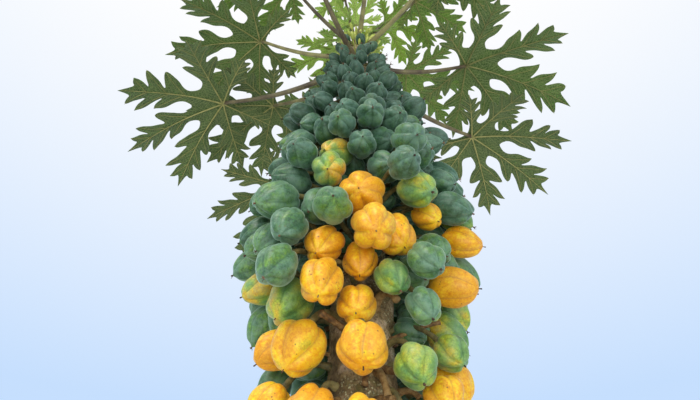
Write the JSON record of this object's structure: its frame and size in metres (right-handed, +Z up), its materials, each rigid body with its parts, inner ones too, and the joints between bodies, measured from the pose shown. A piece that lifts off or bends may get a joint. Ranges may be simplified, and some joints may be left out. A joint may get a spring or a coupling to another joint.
{
  "type": "mountain papaya tree",
  "caption": "Papaya tree: a straight soft-wooded stem with a root flare, packed with ribbed green and yellow fruit under a whorl of deeply lobed leaves on long stalks.",
  "frame": {"origin": "the middle of the flat cut under the stem, at ground level", "axes": "+Z up the stem; -Y towards the side that the picture was taken from; +X to the right in that view"},
  "size_m": [1.2412, 1.1372, 3.11],
  "materials": {
    "bark": "rough bark with ring-like leaf scars",
    "leaf": "soft matt leaf with raised pale veins",
    "green_fruit": "waxy green skin",
    "ripe_fruit": "smooth golden skin"
  },
  "bodies": {
    "root": {"stem": "bark", "leaf_01": "leaf", "leaf_02": "leaf", "leaf_03": "leaf", "leaf_04": "leaf", "leaf_05": "leaf", "leaf_06": "leaf", "leaf_07": "leaf", "leaf_08": "leaf", "leaf_09": "leaf", "leaf_10": "leaf", "leaf_11": "leaf", "leaf_12": "leaf", "leaf_13": "leaf", "leaf_14": "leaf", "leaf_15": "leaf", "leaf_16": "leaf", "leaf_17": "leaf", "fruit_bunch_1a": "ripe_fruit", "fruit_bunch_1b": "ripe_fruit", "fruit_bunch_1c": "ripe_fruit", "fruit_bunch_1d": "ripe_fruit", "fruit_bunch_2a": "green_fruit", "fruit_bunch_2b": "ripe_fruit", "fruit_bunch_2c": "green_fruit", "fruit_bunch_2d": "ripe_fruit", "fruit_bunch_3a": "green_fruit", "fruit_bunch_3b": "green_fruit", "fruit_bunch_3c": "green_fruit", "fruit_bunch_3d": "green_fruit", "fruit_bunch_4a": "green_fruit", "fruit_bunch_4b": "green_fruit", "fruit_bunch_4c": "green_fruit", "fruit_bunch_4d": "green_fruit", "fruit_bunch_4e": "green_fruit", "fruit_bunch_5a": "green_fruit", "fruit_bunch_5b": "green_fruit", "fruit_bunch_5c": "green_fruit", "fruit_bunch_5d": "green_fruit", "fruit_bunch_5e": "green_fruit", "fruit_bunch_6a": "green_fruit", "fruit_bunch_6b": "green_fruit", "fruit_bunch_6c": "green_fruit", "fruit_bunch_6d": "green_fruit", "fruit_bunch_7a": "green_fruit", "fruit_bunch_7b": "green_fruit", "fruit_bunch_7c": "green_fruit", "fruit_bunch_7d": "green_fruit", "fruit_bunch_8a": "green_fruit", "fruit_bunch_8b": "green_fruit", "fruit_bunch_8c": "green_fruit", "fruit_bunch_8d": "green_fruit", "fruit_bunch_9a": "green_fruit", "fruit_bunch_9b": "green_fruit", "fruit_bunch_9c": "green_fruit", "fruit_bunch_9d": "green_fruit"}
  },
  "joints": []
}
